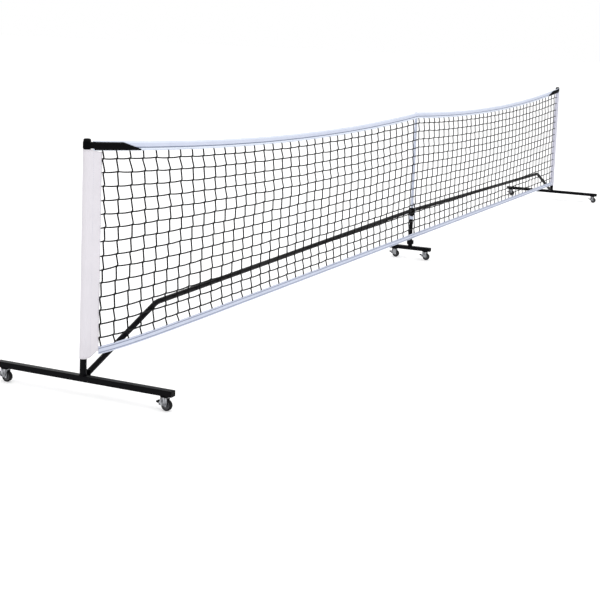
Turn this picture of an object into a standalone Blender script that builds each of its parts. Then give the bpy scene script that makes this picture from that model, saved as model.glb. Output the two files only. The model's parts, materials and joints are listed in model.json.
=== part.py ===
"""Portable pickleball net on wheeled bases.

The frame stands with +Z up and X along the net. The origin is on the floor, midway between the
two end posts. Each base bar lies along Y and stands on two swivel casters with a brake pedal.
Every tube is hollow and plugs over or into the next one, with a running gap between them.
"""

import math

import bmesh
import bpy
from mathutils import Matrix, Vector

# Driving dimensions, in metres
POST_SPACING = 6.70        # between the axes of the two end posts
END_HEIGHT = 0.914         # top edge of the net at an end post, 36 inches
CENTRE_HEIGHT = 0.864      # top edge of the net at its centre, 34 inches
BAND_SAG = 0.052           # how far the top edge hangs below a straight line in each half
TOP_BAND = 0.036           # height of the band along the top of the net
BOTTOM_BAND = 0.030        # height of the band along the bottom of the net
BOTTOM_EDGE = 0.120        # lowest edge of the bottom band, above the floor
EDGE_RISE = 0.022          # how far that edge turns up at the left post
END_BASE = 0.740           # length of an end base bar
CENTRE_BASE = 0.250        # length of the centre base bar
BAR_WIDTH = 0.030
BAR_HEIGHT = 0.022
BAR_BOTTOM = 0.052         # underside of every base bar, above the floor
POST_RADIUS = 0.0125
CENTRE_POST_RADIUS = 0.0105
RAIL_RADIUS = 0.0110
BEND_REACH = 0.490         # from a post's axis to the bend of its brace
BEND_HEIGHT = 0.251        # axis of the rail at that bend
TEE_HEIGHT = 0.285         # axis of the rail at the centre post
CASTER_INSET = 0.030       # from the end of a bar to the swivel axis
WHEEL_RADIUS = 0.020
CASTER_TRAIL = 0.008       # from the swivel axis back to the axle

# Working dimensions
GAP = 0.0003               # between pieces that touch
SLIP = 0.0005              # between a tube and the spigot inside it
STEEL_WALL = 0.0015
RAIL_WALL = 0.0012
BAR_TOP = BAR_BOTTOM + BAR_HEIGHT
HALF_SPAN = POST_SPACING / 2
NET_FRONT = -0.0150        # the net hangs just in front of the rails
NET_BACK = -0.0140
SLEEVE_WIDTH = 0.072       # from the post's axis along the net
FLAP_TOP = END_HEIGHT - TOP_BAND - 0.0015
SLEEVE_TOP = 0.882
LEFT_SLEEVE_BOTTOM = 0.135
RIGHT_SLEEVE_BOTTOM = 0.112
CAP_BOTTOM = SLEEVE_TOP + 0.002
PLUG_FLANGE = 0.0025
COLLAR_TOP = 0.108         # rim of the centre base's socket
TEE_BOTTOM = 0.2555
TEE_TOP = 0.300
POST_TOP = 0.905           # upper end of an end post, inside its cap
CAP_TOP = 0.920
SOCKET_FLOOR = 0.087       # where the centre post stands in its base
BRACE_FOOT = (0.0300, 0.0746)   # X from the post's axis and Z where a brace leaves its bracket
ROD_RADIUS = 0.0040        # rod that holds the net up at the centre
SPLICES = (1.15, 2.25)     # from a post's axis to the two joints in each half rail
BASES = {                  # X of each base bar and its length
    "left": (-HALF_SPAN, END_BASE),
    "centre": (0.0, CENTRE_BASE),
    "right": (HALF_SPAN, END_BASE),
}

BLACK_STEEL = ("black_powder_coated_steel", (0.012, 0.012, 0.014), 0.35, 0.0)
BLACK_PLASTIC = ("black_plastic", (0.015, 0.015, 0.016), 0.5, 0.0)
ZINC = ("zinc_plated_steel", (0.62, 0.62, 0.64), 0.35, 1.0)
TYRE = ("dark_rubber", (0.02, 0.02, 0.021), 0.6, 0.0)
WHITE_FABRIC = ("white_vinyl_band", (0.80, 0.80, 0.86), 0.6, 0.0)
SLEEVE_FABRIC = ("pale_sleeve_cloth", (0.74, 0.73, 0.77), 0.75, 0.0)
BLACK_WEBBING = ("black_webbing", (0.01, 0.01, 0.011), 0.8, 0.0)
NETTING = ("dark_netting", (0.05, 0.05, 0.055), 0.8, 0.0)
FIBREGLASS = ("white_fibreglass", (0.75, 0.75, 0.72), 0.4, 0.0)


# ---------------------------------------------------------------- scene and materials

def clear_scene():
    for obj in list(bpy.data.objects):
        bpy.data.objects.remove(obj, do_unlink=True)


def make_collection(name):
    collection = bpy.data.collections.new(name)
    bpy.context.scene.collection.children.link(collection)
    return collection


def material(look):
    name, colour, roughness, metallic = look
    if name in bpy.data.materials:
        return bpy.data.materials[name]
    made = bpy.data.materials.new(name)
    made.use_nodes = True
    shader = made.node_tree.nodes["Principled BSDF"]
    shader.inputs["Base Color"].default_value = (*colour, 1.0)
    shader.inputs["Roughness"].default_value = roughness
    shader.inputs["Metallic"].default_value = metallic
    return made


def place(name, mesh, look, location=(0, 0, 0), parent=None):
    """Puts a mesh in the net's collection as the piece with this name."""
    obj = bpy.data.objects.new(name, mesh)
    NET.objects.link(obj)
    obj.location = location
    obj.parent = parent
    if not mesh.materials:
        mesh.materials.append(material(look))
    return obj


# ---------------------------------------------------------------- shaping tools

def scratch(data):
    obj = bpy.data.objects.new("shape", data)
    bpy.context.scene.collection.objects.link(obj)
    return obj


def bake(obj):
    """Turns a scratch object with its modifiers into a plain welded mesh."""
    graph = bpy.context.evaluated_depsgraph_get()
    mesh = bpy.data.meshes.new_from_object(obj.evaluated_get(graph), depsgraph=graph)
    mesh.transform(obj.matrix_world)
    bpy.data.objects.remove(obj, do_unlink=True)
    shape = bmesh.new()
    shape.from_mesh(mesh)
    bmesh.ops.remove_doubles(shape, verts=shape.verts, dist=1e-6)
    shape.to_mesh(mesh)
    shape.free()
    mesh.shade_smooth()
    mesh.set_sharp_from_angle(angle=math.radians(35))
    return mesh


def turned(profile, steps=20, closed=True):
    """A profile of (radius, height) points, outer side first from the top down, spun round Z."""
    mesh = bpy.data.meshes.new("profile")
    points = [(radius, 0, height) for radius, height in profile]
    edges = [(i, i + 1) for i in range(len(points) - 1)]
    if closed:
        edges.append((len(points) - 1, 0))
    mesh.from_pydata(points, edges, [])
    obj = scratch(mesh)
    screw = obj.modifiers.new("turn", "SCREW")
    screw.steps = steps
    screw.render_steps = steps
    screw.use_merge_vertices = True
    screw.merge_threshold = 1e-6
    return bake(obj)


def box(x_range, y_range, z_range, rounding=0.0, segments=2):
    """An upright block between the given limits, with its edges rounded."""
    low = Vector((x_range[0], y_range[0], z_range[0]))
    high = Vector((x_range[1], y_range[1], z_range[1]))
    shape = bmesh.new()
    bmesh.ops.create_cube(shape, size=1.0)
    bmesh.ops.scale(shape, vec=high - low, verts=shape.verts)
    bmesh.ops.translate(shape, vec=(low + high) / 2, verts=shape.verts)
    mesh = bpy.data.meshes.new("block")
    shape.to_mesh(mesh)
    shape.free()
    obj = scratch(mesh)
    if rounding:
        bevel = obj.modifiers.new("round", "BEVEL")
        bevel.width = rounding
        bevel.segments = segments
    return bake(obj)


def cylinder(radius, z_range, steps=20):
    """A solid round bar along Z."""
    return turned([(0, z_range[1]), (radius, z_range[1]), (radius, z_range[0]), (0, z_range[0])],
                  steps, closed=False)


def tube(outer, inner, z_range, steps=20):
    """A hollow round bar along Z, open at both ends."""
    low, high = z_range
    return turned([(outer, high), (outer, low), (inner, low), (inner, high)], steps)


def circle_points(centre, radius, start, end, count):
    """Points along an arc, with its angles in degrees."""
    step = (end - start) / (count - 1)
    angles = [math.radians(start + step * i) for i in range(count)]
    return [(centre[0] + radius * math.cos(a), centre[1] + radius * math.sin(a)) for a in angles]


def plate(outlines, low, high):
    """A flat piece between two heights. The first outline is its rim and the rest are holes."""
    curve = bpy.data.curves.new("outline", "CURVE")
    curve.dimensions = "2D"
    curve.fill_mode = "BOTH"
    curve.extrude = (high - low) / 2
    for outline in outlines:
        spline = curve.splines.new("POLY")
        spline.points.add(len(outline) - 1)
        for point, (u, v) in zip(spline.points, outline):
            point.co = (u, v, 0, 1)
        spline.use_cyclic_u = True
    obj = scratch(curve)
    obj.location.z = (low + high) / 2
    bpy.context.view_layer.update()
    return bake(obj)


def upright_plate(outlines, y_front, y_back):
    """A flat piece drawn in X and Z that stands between two Y values."""
    mesh = plate(outlines, -y_back, -y_front)
    mesh.transform(Matrix.Rotation(math.radians(90), 4, "X"))
    return mesh


def side_plate(outlines, x_low, x_high):
    """A flat piece drawn in Y and Z that stands between two X values."""
    mesh = plate(outlines, x_low, x_high)
    mesh.transform(Matrix(((0, 0, 1, 0), (1, 0, 0, 0), (0, 1, 0, 0), (0, 0, 0, 1))))
    return mesh


def combine(base, others, operation="UNION"):
    """Joins meshes to a base mesh, or cuts them out of it, with exact Booleans."""
    body = scratch(base)
    cutters = []
    for mesh in others:
        cutter = scratch(mesh)
        boolean = body.modifiers.new("shape", "BOOLEAN")
        boolean.operation = operation
        boolean.object = cutter
        cutters.append(cutter)
    bpy.context.view_layer.update()
    mesh = bake(body)
    for cutter in cutters:
        bpy.data.objects.remove(cutter, do_unlink=True)
    return mesh


def aim(mesh, start, direction):
    """Moves a piece built upwards from its origin so that it runs from start along direction."""
    turn = Vector(direction).to_track_quat("Z", "Y").to_matrix().to_4x4()
    mesh.transform(Matrix.Translation(start) @ turn)
    return mesh


def mirrored(mesh):
    """The same piece for the other half of the net."""
    copy = mesh.copy()
    copy.transform(Matrix.Scale(-1, 4, (1, 0, 0)))
    copy.flip_normals()
    return copy


# ---------------------------------------------------------------- lines of the net

def top_edge(x):
    """Height of the net's top edge: two parabolas that meet at the centre."""
    share = 1 - abs(x) / HALF_SPAN
    straight = END_HEIGHT + (CENTRE_HEIGHT - END_HEIGHT) * share
    return straight - 4 * BAND_SAG * share * (1 - share)


def bottom_edge(x):
    """Height of the net's lower edge, which turns up towards the left post."""
    return BOTTOM_EDGE + EDGE_RISE * (max(-x, 0) / HALF_SPAN) ** 16


def ribbon(x_range, low, high, y_range, count=32):
    """An upright strip whose lower and upper edges are functions of x."""
    span = x_range[1] - x_range[0]
    stations = [x_range[0] + span * i / count for i in range(count + 1)]
    outline = [(x, low(x)) for x in stations] + [(x, high(x)) for x in reversed(stations)]
    return upright_plate([outline], *y_range)


# ---------------------------------------------------------------- bases

def bar_tube(length):
    """A rectangular tube along Y with rounded long edges and open ends."""
    half = length / 2
    shape = bmesh.new()
    bmesh.ops.create_cube(shape, size=1.0)
    bmesh.ops.scale(shape, vec=(BAR_WIDTH, length, BAR_HEIGHT), verts=shape.verts)
    bmesh.ops.translate(shape, vec=(0, 0, BAR_BOTTOM + BAR_HEIGHT / 2), verts=shape.verts)
    ends = [f for f in shape.faces if abs(abs(f.calc_center_median().y) - half) < 1e-5]
    bmesh.ops.delete(shape, geom=ends, context="FACES_ONLY")
    long_edges = [e for e in shape.edges if abs(e.verts[0].co.y - e.verts[1].co.y) > half]
    bmesh.ops.bevel(shape, geom=long_edges, offset=0.003, segments=2, profile=0.5,
                    affect="EDGES")
    mesh = bpy.data.meshes.new("bar")
    shape.to_mesh(mesh)
    shape.free()
    obj = scratch(mesh)
    wall = obj.modifiers.new("wall", "SOLIDIFY")
    wall.thickness = STEEL_WALL
    wall.offset = -1
    wall.use_even_offset = True
    return bake(obj)


def brace_direction():
    """Unit vector up a left brace, from its foot to its bend."""
    foot = Vector((BRACE_FOOT[0], 0, BRACE_FOOT[1]))
    return (Vector((BEND_REACH, 0, BEND_HEIGHT)) - foot).normalized()


WELD_RADIUS = 0.0150       # weld ring round the post's foot
WELD_HEIGHT = 0.0030
WELD_DEPTH = 0.0008        # how far welded parts sink into the bar's top
SPIGOT_BORE = 0.0080
SPIGOT_TOP = 0.150
BRACKET_PLATE = 0.0030
BRACE_SPIGOT = 0.070


def end_base():
    """Bar, weld ring and spigot for the post, and arm, bracket and spigot for the brace."""
    bore = POST_RADIUS - STEEL_WALL - SLIP
    ring = tube(WELD_RADIUS, SPIGOT_BORE, (BAR_TOP - WELD_DEPTH, BAR_TOP + WELD_HEIGHT),
                steps=16)
    spigot = tube(bore, SPIGOT_BORE + SLIP, (BAR_TOP - 0.0010, SPIGOT_TOP), steps=16)
    plate_x = BRACE_FOOT[0] - 0.0020
    arm = box((WELD_RADIUS - 0.0005, BRACE_FOOT[0]), (-0.012, 0.012), (0.056, 0.062))
    bracket = box((plate_x, plate_x + BRACKET_PLATE), (-0.0125, 0.0125), (0.055, 0.088),
                  rounding=0.0007, segments=1)
    brace_spigot = cylinder(RAIL_RADIUS - RAIL_WALL - SLIP, (0.0, BRACE_SPIGOT), steps=12)
    foot = (BRACE_FOOT[0], 0, BRACE_FOOT[1])
    aim(brace_spigot, foot, brace_direction())
    return combine(bar_tube(END_BASE), [ring, spigot, arm, bracket, brace_spigot])


def centre_base():
    """Short bar with a neck and a wide round socket that holds the centre post."""
    neck_bottom = BAR_TOP - WELD_DEPTH
    socket = turned([(0, SOCKET_FLOOR), (CENTRE_POST_RADIUS + GAP, SOCKET_FLOOR),
                     (CENTRE_POST_RADIUS + GAP, COLLAR_TOP), (0.0185, COLLAR_TOP),
                     (0.0200, COLLAR_TOP - 0.0015), (0.0200, 0.0865), (0.0185, 0.0850),
                     (0.0125, 0.0850), (0.0125, neck_bottom), (0, neck_bottom)],
                    steps=24, closed=False)
    return combine(bar_tube(CENTRE_BASE), [socket])


def bar_plug():
    """Plug for a bar's end at +Y: a flange outside and a block inside the tube."""
    half_width = BAR_WIDTH / 2
    inside = STEEL_WALL + GAP
    flange = box((-half_width, half_width), (GAP, GAP + PLUG_FLANGE), (BAR_BOTTOM, BAR_TOP),
                 rounding=0.001, segments=1)
    block = box((-half_width + inside, half_width - inside), (-0.012, GAP + 0.001),
                (BAR_BOTTOM + inside, BAR_TOP - inside), rounding=0.0021, segments=1)
    return combine(flange, [block])


def make_bases():
    left = end_base()
    place("left_base", left, BLACK_STEEL, (-HALF_SPAN, 0, 0))
    place("right_base", mirrored(left), BLACK_STEEL, (HALF_SPAN, 0, 0))
    place("centre_base", centre_base(), BLACK_STEEL)
    far_plug = bar_plug()
    near_plug = far_plug.copy()
    near_plug.transform(Matrix.Rotation(math.pi, 4, "Z"))
    for side, (x, length) in BASES.items():
        place(side + "_far_plug", far_plug, BLACK_PLASTIC, (x, length / 2, 0))
        place(side + "_near_plug", near_plug, BLACK_PLASTIC, (x, -length / 2, 0))


# ---------------------------------------------------------------- casters

PLATE_BOTTOM = 0.0450      # top plate of a fork
PLATE_TOP = 0.0470
LEG_INSIDE = 0.0095        # inner face of a fork leg, from the wheel's middle plane
LEG_WALL = 0.0020
AXLE_RADIUS = 0.0029
PEDAL_PIVOT = (0.0150, 0.0235)   # Y from the swivel axis, Z above the floor
PEDAL_STUB = 0.0020
PEDAL_RISE = math.radians(25)    # the free pedal points up by this much


def caster_mount():
    """Flanged boss under the bar with the swivel pin and its head."""
    top = BAR_BOTTOM - GAP
    boss_bottom = PLATE_TOP + GAP
    head_top = PLATE_BOTTOM - GAP
    return turned([(0, top), (0.0180, top), (0.0180, 0.0497), (0.0120, boss_bottom),
                   (0.0040, boss_bottom), (0.0040, head_top), (0.0065, head_top),
                   (0.0055, 0.0428), (0, 0.0428)], steps=14, closed=False)


def fork_leg():
    """Outline of a fork leg: from the top plate down to the axle eye and the pedal eye."""
    axle = (-CASTER_TRAIL, WHEEL_RADIUS)
    axle_eye = circle_points(axle, 0.0055, 180, 330, 6)
    pedal_eye = circle_points(PEDAL_PIVOT, 0.0040, -70, 40, 4)
    rim = [(-0.0130, PLATE_TOP)] + axle_eye + pedal_eye + [(0.0130, PLATE_TOP)]
    axle_hole = circle_points(axle, AXLE_RADIUS + GAP * 1.5, 0, 324, 10)
    pedal_hole = circle_points(PEDAL_PIVOT, PEDAL_STUB + GAP * 1.5, 0, 315, 8)
    return [rim, axle_hole, pedal_hole]


def caster_fork():
    """Bent steel fork: a top plate with the pin hole and two legs."""
    reach = LEG_INSIDE + LEG_WALL
    rim = [(-reach, -0.0130), (reach, -0.0130), (reach, 0.0130), (-reach, 0.0130)]
    pin_hole = circle_points((0, 0), 0.0040 + GAP * 1.5, 0, 324, 10)
    top = plate([rim, pin_hole], PLATE_BOTTOM, PLATE_TOP)
    legs = [side_plate(fork_leg(), -reach, -LEG_INSIDE), side_plate(fork_leg(), LEG_INSIDE, reach)]
    return combine(top, legs)


def caster_wheel():
    """Rubber wheel with a bore and chamfered shoulders, on the X axis."""
    half = 0.0085
    bore = AXLE_RADIUS + GAP
    profile = [(bore, half), (0.0180, half), (WHEEL_RADIUS, half - 0.0030)]
    lower = [(radius, -height) for radius, height in reversed(profile)]
    return turn_to_x(turned(profile + lower, steps=22))


def caster_axle():
    """Rivet through the fork legs and the wheel, on the X axis."""
    seat = LEG_INSIDE + LEG_WALL + GAP
    end = seat + 0.0015
    profile = [(0, end), (0.0046, end), (0.0050, seat), (AXLE_RADIUS, seat)]
    lower = [(radius, -height) for radius, height in reversed(profile)]
    return turn_to_x(turned(profile + lower, steps=10, closed=False))


def turn_to_x(mesh):
    """Lays a piece that was turned on Z along X."""
    mesh.transform(Matrix.Rotation(math.radians(90), 4, "Y"))
    return mesh


def brake_pedal():
    """Pedal with a round barrel between the fork legs, a neck and a wide pad."""
    barrel_half = LEG_INSIDE - GAP
    stub_half = LEG_INSIDE + LEG_WALL
    barrel = turn_to_x(cylinder(0.0028, (-barrel_half, barrel_half), steps=10))
    stubs = turn_to_x(cylinder(PEDAL_STUB, (-stub_half, stub_half), steps=8))
    neck, pad, tip = 0.0085, 0.0115, 0.0180
    lever = plate([[(-neck, 0), (neck, 0), (neck, 0.0065), (pad, 0.0080), (pad, tip - 0.003),
                    (pad - 0.003, tip), (0.003 - pad, tip), (-pad, tip - 0.003),
                    (-pad, 0.0080), (-neck, 0.0065)]], -0.0012, 0.0012)
    lever.transform(Matrix.Rotation(PEDAL_RISE, 4, "X"))
    return combine(barrel, [stubs, lever])


def make_casters():
    """Two casters under every bar, all trailing towards -Y with the pedal at +Y."""
    mount, fork, axle = caster_mount(), caster_fork(), caster_axle()
    wheel, pedal = caster_wheel(), brake_pedal()
    for side, (x, length) in BASES.items():
        for end, sign in (("near", -1), ("far", 1)):
            name = side + "_" + end + "_caster_"
            swivel = bpy.data.objects.new(name + "axis", None)
            NET.objects.link(swivel)
            swivel.location = (x, sign * (length / 2 - CASTER_INSET), 0)
            centre = (0, -CASTER_TRAIL, WHEEL_RADIUS)
            place(name + "mount", mount, BLACK_PLASTIC, parent=swivel)
            place(name + "fork", fork, ZINC, parent=swivel)
            place(name + "axle", axle, ZINC, centre, parent=swivel)
            place(name + "wheel", wheel, TYRE, centre, parent=swivel)
            place(name + "pedal", pedal, BLACK_PLASTIC, (0, *PEDAL_PIVOT), parent=swivel)


# ---------------------------------------------------------------- posts and rails

def end_post():
    """Tube that stands over the spigot of an end base."""
    return tube(POST_RADIUS, POST_RADIUS - STEEL_WALL, (BAR_TOP + 0.0033, POST_TOP), steps=20)


def post_cap():
    """Round cap with a domed top that sits over the end of a post."""
    outer, inner = 0.0136, POST_RADIUS + GAP
    rounding = 0.005
    dome = circle_points((outer - rounding, CAP_TOP - rounding), rounding, 90, 0, 3)
    hollow = [(outer, CAP_BOTTOM), (inner, CAP_BOTTOM), (inner, POST_TOP + GAP),
              (0, POST_TOP + GAP)]
    return turned([(0, CAP_TOP)] + dome + hollow, steps=20, closed=False)


def centre_post():
    """Short tube from the centre base's socket up into the tee."""
    low, high = SOCKET_FLOOR + GAP, TEE_BOTTOM + 0.016
    return tube(CENTRE_POST_RADIUS, CENTRE_POST_RADIUS - STEEL_WALL, (low, high), steps=20)


def rail_direction():
    """Unit vector along the left rail, from its bend to the tee."""
    return (Vector((0, 0, TEE_HEIGHT)) -
            Vector((BEND_REACH - HALF_SPAN, 0, BEND_HEIGHT))).normalized()


def rail_point(from_post):
    """Point on the left rail's axis at this distance from the left post's axis."""
    way = rail_direction()
    start = Vector((BEND_REACH - HALF_SPAN, 0, BEND_HEIGHT))
    return start + way * ((from_post - BEND_REACH) / way.x)


def brace_tube():
    """Left end section: up from the base bracket, round the bend and along the rail."""
    corner = Vector((BEND_REACH - HALF_SPAN, 0, BEND_HEIGHT))
    up, along = brace_direction(), rail_direction()
    foot = Vector((BRACE_FOOT[0] - HALF_SPAN, 0, BRACE_FOOT[1])) + up * 0.0064
    end = rail_point(SPLICES[0])
    half_turn = up.angle(along) / 2
    bend_radius = 0.110
    setback = bend_radius * math.tan(half_turn)
    centre = corner - up * setback + Vector((up.z, 0, -up.x)) * bend_radius
    arc = []
    for i in range(7):
        angle = half_turn * 2 * i / 6
        spoke = Matrix.Rotation(angle, 3, "Y") @ Vector((-up.z, 0, up.x))
        arc.append(centre + spoke * bend_radius)
    curve = bpy.data.curves.new("brace", "CURVE")
    curve.dimensions = "3D"
    curve.bevel_depth = RAIL_RADIUS
    curve.bevel_resolution = 5
    spline = curve.splines.new("POLY")
    points = [foot] + arc + [end]
    spline.points.add(len(points) - 1)
    for point, co in zip(spline.points, points):
        point.co = (*co, 1)
    obj = scratch(curve)
    bpy.context.view_layer.update()
    surface = scratch(bake(obj))
    wall = surface.modifiers.new("wall", "SOLIDIFY")
    wall.thickness = RAIL_WALL
    wall.offset = -1
    bpy.context.view_layer.update()
    return bake(surface)


def straight_rail(start, end):
    """Tube with a narrowed neck that plugs into the tube before it."""
    length = (end - start).length
    bore = RAIL_RADIUS - RAIL_WALL
    neck = bore - SLIP
    profile = [(RAIL_RADIUS, length), (RAIL_RADIUS, 0.003), (neck, GAP), (neck, -0.050),
               (neck - RAIL_WALL, -0.050), (neck - RAIL_WALL, GAP), (bore, 0.003),
               (bore, length)]
    return aim(turned(profile, steps=16), start, end - start)


def centre_tee():
    """Block over the centre post's top, with a spigot for each rail and a hole for the rod."""
    post_hole = CENTRE_POST_RADIUS + GAP
    hole_top = TEE_BOTTOM + 0.0163
    block = turned([(0.0130, TEE_TOP - 0.002), (0.0130, TEE_BOTTOM + 0.001),
                    (0.0120, TEE_BOTTOM), (post_hole, TEE_BOTTOM), (post_hole, hole_top),
                    (ROD_RADIUS + GAP, hole_top), (ROD_RADIUS + GAP, TEE_TOP),
                    (0.0110, TEE_TOP)], steps=20)
    spigots = []
    for sign in (-1, 1):
        way = Vector((sign * rail_direction().x, 0, -rail_direction().z))
        start = Vector((0, 0, TEE_HEIGHT)) + way * 0.0090
        spigot = cylinder(RAIL_RADIUS - RAIL_WALL - SLIP, (0, 0.060), steps=12)
        spigots.append(aim(spigot, start, way))
    return combine(block, spigots)


def centre_rod():
    """Thin rod that stands in the tee and holds the net up at its centre."""
    return cylinder(ROD_RADIUS, (TEE_BOTTOM + 0.0166, CENTRE_HEIGHT - 0.006), steps=12)


def make_frame():
    place("left_post", end_post(), BLACK_STEEL, (-HALF_SPAN, 0, 0))
    place("right_post", end_post(), BLACK_STEEL, (HALF_SPAN, 0, 0))
    place("left_post_cap", post_cap(), BLACK_PLASTIC, (-HALF_SPAN, 0, 0))
    place("right_post_cap", post_cap(), BLACK_PLASTIC, (HALF_SPAN, 0, 0))
    place("centre_post", centre_post(), BLACK_STEEL)
    place("centre_tee", centre_tee(), BLACK_PLASTIC)
    place("centre_rod", centre_rod(), FIBREGLASS)
    tee_face = HALF_SPAN - 0.0140
    pieces = {
        "brace_tube": brace_tube(),
        "outer_rail": straight_rail(rail_point(SPLICES[0]), rail_point(SPLICES[1])),
        "inner_rail": straight_rail(rail_point(SPLICES[1]), rail_point(tee_face)),
    }
    for name, mesh in pieces.items():
        place("left_" + name, mesh, BLACK_STEEL)
        place("right_" + name, mirrored(mesh), BLACK_STEEL)


# ---------------------------------------------------------------- net, bands and sleeves

POCKET_RADIUS = 0.0155     # outside of a side sleeve's pocket
FLAP_SLOPE = 0.0070        # how much lower the flap's top is at its far edge
FLAP_RISE = 0.015          # and how much higher its bottom is there
TAB_LENGTH = 0.330
TAB_TAPER = 0.210          # where the tab starts to narrow
TAB_LOOP = (0.0165, 0.0139)         # outer and inner radius round the post cap
TAB_FACES = (-0.0165, -0.0140)      # front and back Y of the strip
TOP_BAND_FACES = (-0.0137, -0.0107)
BOTTOM_BAND_FACES = (-0.0165, -0.0135)
TOP_BAND_INSET = 0.0185    # from a post's axis to the band's end
SEAM = 0.0005              # room between the net and its bands


def side_sleeve(bottom):
    """Sleeve for a post on the left: a pocket round it and a flat flap along the net."""
    pocket = tube(POCKET_RADIUS, POST_RADIUS + GAP, (bottom, SLEEVE_TOP), steps=20)
    outline = [(0.0, bottom), (0.014, bottom), (SLEEVE_WIDTH, bottom + FLAP_RISE),
               (SLEEVE_WIDTH, FLAP_TOP - FLAP_SLOPE), (0.014, FLAP_TOP), (0.0, FLAP_TOP)]
    flap = upright_plate([outline], NET_FRONT - 0.0005, NET_BACK + 0.0005)
    return combine(pocket, [flap])


def corner_tab():
    """Left tab: a loop round the post cap and a tapered strip in front of the top band."""
    loop = tube(*TAB_LOOP, (CAP_BOTTOM + 0.0005, END_HEIGHT - 0.004), steps=20)

    def low(x):
        return top_edge(x - HALF_SPAN) - TOP_BAND + 0.002

    def high(x):
        return top_edge(x - HALF_SPAN) - 0.006

    stations = [TAB_TAPER * i / 6 for i in range(7)]
    tip_low = low(TAB_LENGTH)
    tip = [(TAB_LENGTH - 0.004, tip_low + 0.009), (TAB_LENGTH, tip_low + 0.004),
           (TAB_LENGTH - 0.004, tip_low)]
    lower = [(x, max(low(x), CAP_BOTTOM + 0.0005) if x < 0.02 else low(x)) for x in stations]
    upper = [(x, high(x)) for x in reversed(stations)]
    outline = lower + list(reversed(tip)) + upper
    strip = upright_plate([outline], *TAB_FACES)
    return combine(loop, [strip])


def make_soft_parts():
    band_end = HALF_SPAN - TOP_BAND_INSET
    net_end = HALF_SPAN - SLEEVE_WIDTH - GAP

    def under_top_band(x):
        return top_edge(x) - TOP_BAND - SEAM

    def over_bottom_band(x):
        return bottom_edge(x) + BOTTOM_BAND + SEAM

    net = ribbon((-net_end, net_end), over_bottom_band, under_top_band, (NET_FRONT, NET_BACK))
    top = ribbon((-band_end, band_end), lambda x: top_edge(x) - TOP_BAND, top_edge,
                 TOP_BAND_FACES)
    bottom = ribbon((-net_end, net_end), bottom_edge,
                    lambda x: bottom_edge(x) + BOTTOM_BAND, BOTTOM_BAND_FACES)
    place("net_panel", net, NETTING)
    place("top_band", top, WHITE_FABRIC)
    place("bottom_band", bottom, WHITE_FABRIC)
    left_sleeve, right_sleeve = side_sleeve(LEFT_SLEEVE_BOTTOM), side_sleeve(RIGHT_SLEEVE_BOTTOM)
    tab = corner_tab()
    place("left_sleeve", left_sleeve, SLEEVE_FABRIC, (-HALF_SPAN, 0, 0))
    place("right_sleeve", mirrored(right_sleeve), SLEEVE_FABRIC, (HALF_SPAN, 0, 0))
    place("left_corner_tab", tab, BLACK_WEBBING, (-HALF_SPAN, 0, 0))
    place("right_corner_tab", mirrored(tab), BLACK_WEBBING, (HALF_SPAN, 0, 0))
    pocket = box((-0.014, 0.014), (-0.0070, 0.0060), (TEE_TOP + GAP, CENTRE_HEIGHT - 0.002),
                 rounding=0.002)
    bore = cylinder(ROD_RADIUS + GAP, (TEE_TOP - 0.01, CENTRE_HEIGHT - 0.0055), steps=12)
    place("centre_sleeve", combine(pocket, [bore], "DIFFERENCE"), WHITE_FABRIC)


clear_scene()
NET = make_collection("portable_pickleball_net")
make_bases()
make_casters()
make_frame()
make_soft_parts()
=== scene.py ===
"""Looks of the portable pickleball net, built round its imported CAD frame.

X runs along the net, Y across it and Z up, in metres, with the origin on the floor at the centre.
The steel, plastic and zinc parts are the CAD nodes with finer edges and node materials. The net,
its bands, sleeves and tabs are made here from cords and folded cloth.
"""

import json
import math
from collections import namedtuple

import bmesh
import bpy
from mathutils import Matrix, Vector, noise


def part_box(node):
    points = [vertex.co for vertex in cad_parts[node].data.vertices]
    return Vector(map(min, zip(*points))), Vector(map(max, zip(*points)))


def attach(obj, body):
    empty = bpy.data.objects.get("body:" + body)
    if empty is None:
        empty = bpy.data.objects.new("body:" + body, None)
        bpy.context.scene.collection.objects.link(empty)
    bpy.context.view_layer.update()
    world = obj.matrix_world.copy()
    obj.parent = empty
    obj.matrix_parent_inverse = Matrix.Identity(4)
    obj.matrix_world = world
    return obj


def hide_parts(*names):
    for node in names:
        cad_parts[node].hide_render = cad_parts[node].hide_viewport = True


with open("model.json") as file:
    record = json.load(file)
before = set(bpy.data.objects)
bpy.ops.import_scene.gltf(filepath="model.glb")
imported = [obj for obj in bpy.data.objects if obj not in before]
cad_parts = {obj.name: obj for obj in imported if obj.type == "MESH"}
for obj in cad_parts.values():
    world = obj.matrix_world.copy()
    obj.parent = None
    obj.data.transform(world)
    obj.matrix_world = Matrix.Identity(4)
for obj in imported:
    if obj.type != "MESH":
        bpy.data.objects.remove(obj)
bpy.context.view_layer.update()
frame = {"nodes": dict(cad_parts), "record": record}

BODY = "frame"

# Lines of the net, as the CAD draws them
POST_RADIUS = 0.0125
HALF_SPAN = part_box("right_post")[1].x - POST_RADIUS  # from the centre to an end post's axis
END_HEIGHT = 0.914          # of the top edge, at the end posts and at the centre
CENTRE_HEIGHT = 0.864
BAND_SAG = 0.052            # of the top edge, in each half
TOP_BAND = 0.036            # heights of the bands
BOTTOM_BAND = 0.030
BOTTOM_EDGE = 0.120         # height of the net's lower edge,
EDGE_RISE = 0.022           # and how much higher it is at the left post
BAND_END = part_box("top_band")[1].x   # X of the top band's end,
NET_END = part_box("net_panel")[1].x   # and of the netting's and the bottom band's
NET_PLANE = -0.0170         # Y of the cords, and of the middles of the bands
TOP_BAND_PLANE = -0.0122
BOTTOM_BAND_PLANE = -0.0150

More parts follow.
